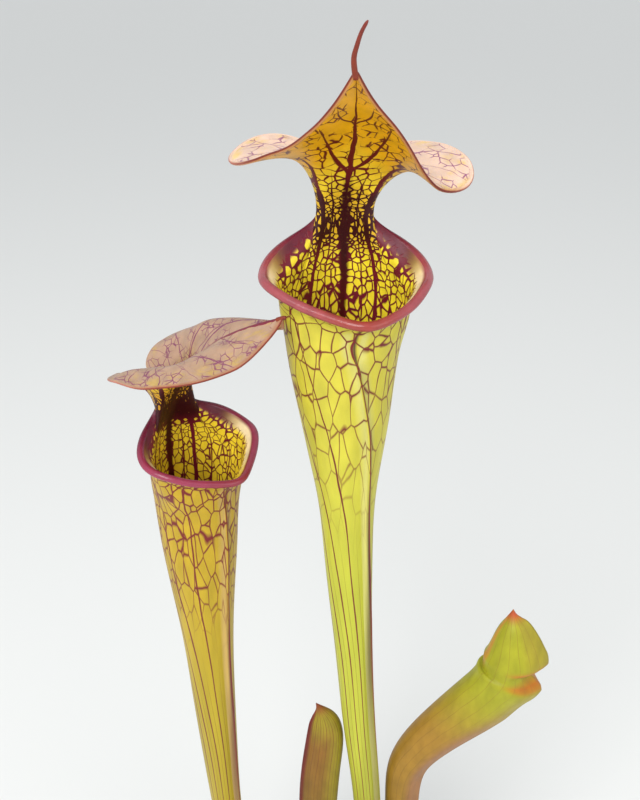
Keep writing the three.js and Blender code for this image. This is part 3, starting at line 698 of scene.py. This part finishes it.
layer_fields = {"ground": "color", "vein colour": "color", "vein widths": "vector",
                "rib widths": "vector", "rib places": "vector", "vein gap": "value",
                "net place": "vector", "shine": "value"}
field_kinds = {"color": "FLOAT_COLOR", "vector": "FLOAT_VECTOR", "value": "FLOAT"}


def write_layers(mesh, *layers):
    """Writes what the leaf skin's material reads at each point of the mesh."""
    for (label, field), value in zip(layer_fields.items(), layers):
        if field == "color":
            value = np.clip(value.reshape(-1, 3), 0, 1)
            value = np.hstack([value, np.ones((len(value), 1))])
        layer = mesh.attributes.new(label, field_kinds[field], "POINT")
        layer.data.foreach_set(field, np.asarray(value, float).ravel())


def write_uv(mesh, veins, up_leaf, turned=False):
    """UV map: vein number across and millimetres up the leaf, so that veins run on unbroken. The
    faces of a horn and of flat ends stay at zero."""
    place = np.stack(np.meshgrid(veins / all_round, up_leaf / uv_height), axis=-1)
    corners = [place[:-1, :-1], place[:-1, 1:], place[1:, 1:], place[1:, :-1]]
    flat = np.stack(facing(corners, turned), axis=2).ravel()
    uv = np.zeros(2 * len(mesh.loops))
    uv[:len(flat)] = flat
    mesh.uv_layers.new(name="veins").data.foreach_set("uv", uv)


def pitcher_mesh(leaf, looks):
    """The whole leaf: the outer skin up from the foot, over the bead, and the inner skin down to
    the bottom of the hollow, with the horn as a second closed skin sunk in the lid's tip."""
    wall = leaf_surface(leaf)
    outer = wall.points + wall.normal * half_wall
    raise_wing(outer, wall, leaf)
    bead = lip_bead(wall, leaf)
    hollow = wall.points[:, 0, 2] > soil_top + 30

    def over_leaf(out_layer, edge_layer, in_layer):
        """A layer from the outer skin's foot, over the bead, to the bottom of the hollow."""
        return np.concatenate([out_layer[:-1], edge_layer, in_layer[hollow][:-1][::-1]])

    grid = over_leaf(outer, bead, wall.points - wall.normal * half_wall)
    skins = [pitcher_colours(wall, leaf, kind, looks) for kind in ("outer", "inner")]
    layers = [over_leaf(out_layer, edge_layer, in_layer) for out_layer, edge_layer, in_layer
              in zip(skins[0], bead_colours(wall, len(bead), looks), skins[1])]
    for along_wall in (rib_places(wall), wall.gap[..., None], wall.length):
        at_bead = np.repeat(along_wall[-1:], len(bead), axis=0)
        layers.append(over_leaf(along_wall, at_bead, along_wall))
    horn = horn_rows(leaf)
    rows, across = grid.shape[:2]
    quads, ends = grid_faces(rows, across, turned=True)
    horn_quads, horn_ends = grid_faces(*horn.shape[:2], first=rows * across)
    corners = np.concatenate([grid.reshape(-1, 3), horn.reshape(-1, 3)])
    mesh = smooth_mesh(corners, quads + horn_quads + ends + horn_ends)
    write_uv(mesh, np.append(wall.veins, all_round), layers[6], turned=True)

    share = np.linspace(0, 1, horn.shape[0])[:, None].repeat(horn.shape[1], axis=1)
    horn_ground = painted(looks.horn, (looks.horn_tip, share))
    none = np.zeros_like(horn)
    beside_horn = [horn_ground, horn_ground, none, none, none, none[..., :1]]
    layers = [np.concatenate([part.reshape(-1, extra.shape[-1]) for part in (layer, extra)])
              for layer, extra in zip(layers, beside_horn)]

    # Where each point lies in the net of small veins, in millimetres from the throat. Drawn
    # together, the net has large meshes: on the outer skin, and more and more so down it. The
    # column is spread across, so that its meshes are small and narrow.
    spot = corners - leaf.throat
    outside = np.arange(len(spot)) < (len(outer) - 1) * across
    narrow = smooth(spot[:, 2], 8, 17) * fade(spot[:, 2], 19, 27)
    narrow[:rows * across] *= np.tile(fade(wall.from_back, 10, 13), rows)
    loose = 1 - 0.25 * smooth(spot[:, 2], 24, 34)
    spot[:, :2] *= np.where(outside, looks.net_draw, loose + 0.9 * narrow)[:, None]
    below = np.minimum(spot[:, 2], 0)
    spot[:, 2] += np.where(outside, -20 * (1 - np.exp(below / 50)), 0.62 * below) - below
    # The rolled lip is waxy and shines more than the skin.
    shine = np.zeros(len(corners))
    bead_start = (len(outer) - 1) * across
    on_mouth = np.tile(smooth(wall.from_back, 11.4, 12.6), len(bead))
    shine[bead_start:bead_start + len(on_mouth)] = on_mouth
    write_layers(mesh, *layers, spot, shine)
    return mesh


def leaf_material(name, sockets, net_size):
    """Leaf skin: the ground colour with main veins at even vein spacings, finer ones between
    them, a net of small veins and the lid's ribs. The mesh says how wide each is, in millimetres.
    Veins stand out a little from the skin."""
    material, shader = new_material(name, sockets)
    tree = shader.id_data

    def maths(operation, *inputs, kind="Math", **settings):
        """The result of a maths node whose inputs are numbers, vectors or other nodes' outputs."""
        sockets = dict(enumerate(inputs))
        return add_node(tree, kind, sockets, operation=operation, **settings).outputs[0]

    def vectors(operation, *inputs):
        """The result of a maths node for vectors."""
        return maths(operation, *inputs, kind="VectorMath")

    def layer(label, output="Vector"):
        """What the mesh says in one of its layers."""
        return add_node(tree, "Attribute", attribute_name=label).outputs[output]

    def parts(vector):
        """The three numbers of a vector."""
        return list(add_node(tree, "SeparateXYZ", {0: vector}).outputs)

    shine = layer("shine", "Fac")
    plug(shader, {"Roughness": ranged(shine, sockets["Roughness"], 0.24),
                  "Specular IOR Level": ranged(shine, sockets["Specular IOR Level"], 0.6)})
    spot, gap = layer("net place"), layer("vein gap", "Fac")
    wander = add_node(tree, "TexNoise", {"Vector": spot, "Scale": 0.16, "Detail": 2.0})
    wander = vectors("SUBTRACT", wander.outputs["Color"], (0.5, 0.5, 0.5))

    # Distances in millimetres to the net's strands, to the veins and to the ribs, a bit bent.
    bent_spot = vectors("MULTIPLY_ADD", wander, (2, 2, 2), spot)
    cells = add_node(tree, "TexVoronoi", {"Vector": bent_spot, "Scale": 1 / net_size},
                     feature="DISTANCE_TO_EDGE").outputs["Distance"]
    uv = add_node(tree, "UVMap", uv_map="veins").outputs["UV"]
    numbers = vectors("MULTIPLY", uv, (all_round, uv_height, 0))
    number = parts(vectors("MULTIPLY_ADD", wander, (0.9, 0, 0), numbers))[0]
    away = maths("PINGPONG", number, vein_spacing / 2)
    between = maths("SUBTRACT", vein_spacing / 2, away)
    ribs = vectors("MULTIPLY_ADD", wander, (1.6, 1.6, 1.6), layer("rib places"))
    distances = [maths("MULTIPLY", cells, net_size), maths("MULTIPLY", away, gap),
                 maths("MULTIPLY", between, gap)] + [maths("ABSOLUTE", rib) for rib in parts(ribs)]
    widths = parts(layer("vein widths")) + parts(layer("rib widths"))

    # A strand is drawn where its distance is less than its width, with a soft edge. It fades as
    # its width falls under the least one.
    soft_edge, least_width = 0.125, 0.0625
    swell = ranged(noise(spot, Scale=0.5, Detail=2.0), 0.75, 1.2, 0.3, 0.7)
    strands = []
    for distance, width in zip(distances, widths):
        within = maths("SUBTRACT", maths("MULTIPLY", width, swell), distance)
        soft = maths("MULTIPLY_ADD", within, 1 / soft_edge, 0.45, use_clamp=True)
        present = maths("MULTIPLY", width, 1 / least_width, use_clamp=True)
        strands.append(maths("MULTIPLY", soft, present))
    drawn = strands[0]
    for strand in strands[1:]:
        drawn = maths("MAXIMUM", drawn, strand)
    mottling = ranged(noise(spot, Scale=0.35, Detail=4.0), 0.86, 1.1, 0.3, 0.7)
    ground = add_node(tree, "VectorMath", {0: layer("ground", "Color"), 3: mottling},
                      operation="SCALE").outputs[0]
    skin = add_node(tree, "Mix", {0: drawn, 6: ground, 7: layer("vein colour", "Color")},
                    data_type="RGBA")
    plug(shader, {"Base Color": skin.outputs[2]})
    dents(shader, drawn, 0.25, 0.0003)
    dents(shader, noise(spot, Scale=4.0, Detail=3.0), 0.2, 0.0002)
    return material


# Sarracenia leaf: tough living tissue with a waxy cuticle that gives a soft shine, a little light
# passing through, yellow-green under a red net of veins.
living_leaf = {"Roughness": 0.42, "IOR": 1.45, "Specular IOR Level": 0.32,
               "Subsurface Weight": 0.12, "Subsurface Scale": 0.0015,
               "Subsurface Radius": (1.0, 0.7, 0.25), "Coat Weight": 0.03, "Coat Roughness": 0.3}
tall_looks = SimpleNamespace(
    tube_top="#c0b53a", tube_middle="#b2b436", tube_foot="#8c8e28", net_reach=90,
    net_draw=0.66, net_width=0.11, throat_net=0.19, midrib_width=0.6,
    # The wing's crest line is painted shade of the wing's shaded side.
    vein_top="#6a1a1c", vein_foot="#7a4822", wing="#c4be72", wing_crest="#3c121c",
    column_back="#6a2a3a", column="#34070d", column_net=0.2, island="#d2a824",
    streak="#480709", lid_top="#dcbca6", lid_vein="#8e5074", midrib="#86384c",
    freckle="#dcb850", lip="#96444a", lip_front="#92362e", shoulder_band="#58102c",
    # The inside's yellow and the lid underside's amber are brighter than the leaf's own: painted
    # light shining through it.
    inside="#ecd832", inside_vein="#681426", lid_under="#dca20e", under_vein="#5e140e",
    # The inner band's pale cream is partly the lip's own colour and partly a painted highlight.
    inner_band="#f0dcb0", lid_margin="#6e2418", lobe_margin="#a86c5c",
    lid_side="#c48a50", horn="#823420", horn_tip="#702a22")
new_piece("tall_pitcher", pitcher_mesh(tall_leaf, tall_looks),
          leaf_material("waxy green leaf", living_leaf, 2.2), ["pitcher_tall"])

# Left pitcher
# A second open trumpet leaf, shorter and turned to the right, with its lid out over its mouth like
# a roof. It is built from the same rings, with a lid of its own.

roof_middle = [
    [0, -5.9, 44.3], [2.7, -6.2, 44.1], [5.8, -4.6, 44.4], [8.6, -2, 44.3], [10.3, 1.3, 43.4],
    [10.9, 6.1, 41.8], [11, 10.8, 39.4], [11.7, 15.6, 37.1], [9.5, 19, 33.8], [6.6, 21.2, 30.2],
    [5, 20.4, 26.6], [6.4, 15.6, 25.4]]
roof_edge = [
    [0, -32.6, 59.1], [3, -30.8, 54.6], [7.7, -26.3, 50.6], [12.6, -19.6, 47], [16, -11.2, 43.5],
    [18.8, -0.9, 40.7], [20.3, 9, 38.3], [18.8, 18.5, 36], [13.4, 25, 32.8], [7, 28.4, 29.2],
    [3.8, 27, 25.2], [5.6, 19.4, 25.6]]
left_leaf = SimpleNamespace(
    throat=np.array([-40.4, 0.0, soil_top + 236]), turn=math.radians(47), size=0.845,
    roll_reach=(2, 11), roll_front=-3.7, roll_back=-1.8,
    lid_shift=0.0, neck_lean=3.0, spout_shift=0.0, lid_turn=math.radians(11.5),
    front_swing=0.0,
    lid_middle=roof_middle, lid_edge=roof_edge,
    tube=[
        [10, 12.3, 0, 0], [25, 11.3, -0.4, 0], [43, 9.8, -0.5, 0], [64, 8.1, -0.4, 0],
        [92, 7, -0.2, 0], [117, 6.2, 0.2, 0], [147, 5.3, 1, 0], [180, 4.8, 4.5, 0],
        [208, 4.5, 12.6, 0], [231, 4.3, 18.2, 0], [243, 4, 18.2, 0]],
    wing=[[0, 0], [8, 0], [25, 1.8], [95, 3], [160, 3], [228, 0], [250, 0]],
    horn=[[8.2, -33.2, 58.3], [8.6, -34.6, 59.1], [8.8, -35.4, 59.5], [8.95, -36, 59.7]])
left_looks = SimpleNamespace(**dict(
    vars(tall_looks), tube_top="#b0921e", tube_middle="#a8941e", tube_foot="#8c721a", net_reach=75,
    net_draw=0.8, net_width=0.14, throat_net=0.13, midrib_width=0.95,
    # Here too the wing's crest line is painted shade.
    vein_top="#6c1c1c", vein_foot="#6e3c22", wing="#b4945c", wing_crest="#542022", column_net=0.75,
    # The left lid's top is the tall lid's cream pink made darker: painted shade.
    island="#c08e1e", lid_top="#aa8a72", lid_vein="#7a3a5a", midrib="#7a1a32", freckle="#b89a3e",
    # Here too the inside and the lid's underside are brighter than the leaf's own: painted light
    # shining through it.
    inside="#ecd032", lid_under="#c88a1e", lip="#8a2c46", lip_front="#862838",
    lid_margin="#7c3426", lid_side="#a87858"))
new_piece("left_pitcher", pitcher_mesh(left_leaf, left_looks),
          leaf_material("waxy golden leaf", living_leaf, 1.9), ["pitcher_left"])

# Young pitcher and bud
# Two leaves that have not opened: soft flattened tubes, closed at the tip. The young one's hood is
# still down on its lip, which shows as a fold across its front, and the bud is one flat blade.

net_squeeze = 0.42          # draws the leaf's mottling out along a closed leaf
closed_radius = 0.05        # half the width where a leaf closes to a point


def closed_leaf_mesh(leaf, colours, around=72, steps=150):
    """A tube along a bent line: splines through sections of place, half width, half depth and
    notch, each an ellipse drawn in at the notch and raised along one side as a keel."""
    point = leaf.tip + [closed_radius, closed_radius, 0]
    sections = np.array(leaf.sections + [point], float)
    chords = np.linalg.norm(np.diff(sections[:, :3], axis=0), axis=1)
    knots = np.concatenate([[0], np.cumsum(chords ** 0.75)])
    at = knots[-1] * (1 - (1 - np.linspace(0, 1, steps)) ** 1.35)
    read = curve_through(knots[None], sections[None], at[None])[0]
    path = read[:, :3]
    half_width, half_depth = np.maximum(read[:, 3:5], closed_radius).T
    notch = np.clip(read[:, 5], 0, 0.6)
    tangent = unit(np.gradient(path, axis=0))
    back = unit(np.array([0, 1, 0]) - tangent * tangent[:, 1:2])
    right = unit(np.cross(back, tangent))
    angle = np.arange(around) * 2 * math.pi / around
    forward = np.maximum(0, np.cos(angle - leaf.facing))[None]
    ridge = leaf.keel * forward ** 24 * smooth(path[:, 2], soil_top + 8, soil_top + 40)[:, None]
    ridge = ridge * smooth(half_width, 0.8, 3)[:, None]
    reach = 1 - notch[:, None] * forward ** 1.2
    side = (half_width[:, None] * reach + ridge) * np.cos(angle)
    deep = half_depth[:, None] * reach * np.sin(angle)
    grid = path[:, None] + right[:, None] * side[..., None] + back[:, None] * deep[..., None]
    mesh = skin_mesh(grid)
    up_leaf = np.concatenate([[0], np.cumsum(np.linalg.norm(np.diff(path, axis=0), axis=1))])
    write_uv(mesh, np.arange(around + 1) * all_round / around, up_leaf)
    height = path[:, 2][:, None] + np.zeros(around)
    ground, veins, widths = colours(height, angle)
    beside = np.linalg.norm(np.roll(grid, -1, axis=1) - np.roll(grid, 1, axis=1), axis=-1)
    gap = beside * around / (2 * all_round)
    none = np.zeros_like(grid)
    write_layers(mesh, ground, veins, none + widths, none, none, gap, grid * [1, 1, net_squeeze],
                 0 * gap)
    return mesh


young_leaf = SimpleNamespace(
    sections=[
        [24, 0, 83, 3.8, 3.8, 0], [24, 0, 90, 4.2, 4.2, 0], [24, 0, 130, 4.8, 4.4, 0],
        [24.5, 0, 179, 5.5, 4.8, 0], [25.5, -0.4, 199, 6.2, 5.2, 0], [30.4, -1.2, 211, 7.4, 5.8, 0],
        [39.2, -2.2, 223.6, 8.8, 6.6, 0], [48.6, -3.2, 235.6, 9.8, 7.4, 0],
        [54.6, -3.8, 244.6, 10.4, 8, 0], [56.2, -4, 248.4, 10.6, 8.2, 0.08],
        [56.6, -4, 250.2, 9.6, 7.6, 0.5], [56.7, -4, 252.6, 9.4, 7.6, 0.55],
        [57, -4.2, 255.4, 9.6, 7.8, 0.05], [56.9, -4.2, 258.6, 8.8, 7.2, 0],
        [56.2, -4, 264, 6.6, 5.6, 0], [55.4, -3.8, 269.4, 3.8, 3.4, 0],
        [54.9, -3.6, 272.2, 1.6, 1.5, 0]],
    tip=[54.7, -3.5, 275], facing=-0.35, keel=1.4)
bud_leaf = SimpleNamespace(
    sections=[
        [-5, 3, 83, 3.8, 3.8, 0], [-5, 3, 90, 4.2, 4, 0], [-5.4, 3, 120, 5, 3.8, 0],
        [-5.4, 3, 150, 5.8, 3.8, 0], [-5, 3, 177, 6.5, 3.8, 0], [-3.8, 3, 196, 6.4, 3.7, 0],
        [-2.8, 3, 207, 6.1, 3.5, 0], [-2.6, 3, 214.5, 5.4, 3.1, 0], [-3.4, 3, 220.2, 3.8, 2.3, 0],
        [-4.9, 3, 223.7, 1.6, 1.2, 0]],
    tip=[-6.4, 3, 226.6], facing=math.pi, keel=1.2)


def young_colours(height, angle):
    """Yellow above and golden brown below, with a tan wing down the right side and orange edges at
    the fold and the tip."""
    right = np.cos(angle + 0.35)
    yellow = smooth(height, 218, 244) * (1 - 0.35 * smooth(right, 0.3, 0.9))
    wing = smooth(right, 0.3, 0.85) * fade(height, 222, 244)
    fold = np.exp(-((height - 248.8) / 0.8) ** 2) + np.exp(-((height - 255) / 0.9) ** 2)
    fold = np.clip(fold, 0, 1) * smooth(right, -0.2, 0.5)
    edges = smooth(np.abs(np.cos(angle)), 0.965, 0.998) * smooth(height, 250, 256)
    ground = painted(
        linear("#74591c"), ("#967024", smooth(height, 150, 215)), ("#96941c", yellow),
        ("#90603a", 0.8 * wing), ("#b4600f", 0.9 * fold), ("#c47a1a", 0.7 * edges),
        ("#b8402a", smooth(height, 270, 274)))
    veins = painted("#6a4a1c", ("#7e5a1e", smooth(height, 200, 250)))
    return ground, veins, (0, 0.05, 0)


def bud_colours(height, angle):
    """Golden brown, with a dark red line down the left edge and a red tip."""
    right = smooth(np.cos(angle), -0.2, 0.8)
    top = painted("#7e581c", ("#90821e", np.maximum(right, smooth(height, 205, 222))))
    edge = smooth(-np.cos(angle), 0.9, 0.98) * smooth(height, 120, 170)
    ground = painted("#6e5c20", (top, smooth(height, 140, 205)), ("#641a18", edge),
                     ("#984620", smooth(height, 221, 227)))
    veins = painted("#66441c", ("#6a2c16", smooth(height, 180, 225)))
    return ground, veins, (0, 0.08, 0.05)


# Young leaf skin: softer than a grown leaf's, with less wax, so it shines less.
young_sockets = dict(living_leaf, Roughness=0.5)
new_piece("young_pitcher", closed_leaf_mesh(young_leaf, young_colours),
          leaf_material("young leaf", young_sockets, 1.9), ["pitcher_young"])
# Bud skin: the same soft tissue, still without a net of veins.
new_piece("pitcher_leaf_bud", closed_leaf_mesh(bud_leaf, bud_colours),
          leaf_material("bud leaf", young_sockets, 1.9), ["pitcher_bud"])

# Floor, light and camera
# A plain pale floor under a pale sky, one large soft lamp above on the left, one weaker lamp on the
# right, and a camera that looks 28 degrees down on the hoods.

far = 60.0                  # metres from the pot to the floor's edge
floor_mesh = bpy.data.meshes.new("floor")
floor_mesh.from_pydata([(-far, -far, 0), (far, -far, 0), (far, far, 0), (-far, far, 0)], [],
                       [(0, 1, 2, 3)])
floor = bpy.data.objects.new("floor", floor_mesh)
bpy.context.scene.collection.objects.link(floor)
paper, _ = new_material("matt paper", {"Base Color": (*linear("#e4e4e1"), 1), "Roughness": 0.9})
floor_mesh.materials.append(paper)
bpy.context.scene.view_settings.view_transform = "Standard"

world = bpy.data.worlds.new("pale sky")
bpy.context.scene.world = world
world.use_nodes = True
sky = world.node_tree.nodes["Background"]
sky.inputs["Color"].default_value = (*linear("#e6e9ec"), 1)
sky.inputs["Strength"].default_value = 1.0


def soft_lamp(name, place, aim, size, watts):
    """A square lamp at a place in metres, turned to face a point."""
    lamp = bpy.data.lights.new(name, "AREA")
    lamp.size = size
    lamp.energy = watts
    made = bpy.data.objects.new(name, lamp)
    made.location = place
    made.rotation_euler = (Vector(aim) - Vector(place)).to_track_quat("-Z", "Y").to_euler()
    bpy.context.scene.collection.objects.link(made)


soft_lamp("window light", (-0.55, -1.1, 1.15), (0, 0, 0.32), 0.9, 19)
soft_lamp("fill light", (1.0, -0.9, 0.7), (0, 0, 0.3), 1.0, 5)

camera_data = bpy.data.cameras.new("camera")
camera_data.sensor_width = 36.0
camera_data.lens = 36.0     # as long as the sensor, so 800 pixels on a picture 800 pixels high
camera_data.clip_start = 0.01
camera = bpy.data.objects.new("camera", camera_data)
camera.location = (-0.0050, -0.1912, 0.4479)
camera.rotation_euler = (math.radians(90 - 28), 0, 0)
bpy.context.scene.collection.objects.link(camera)
bpy.context.scene.camera = camera
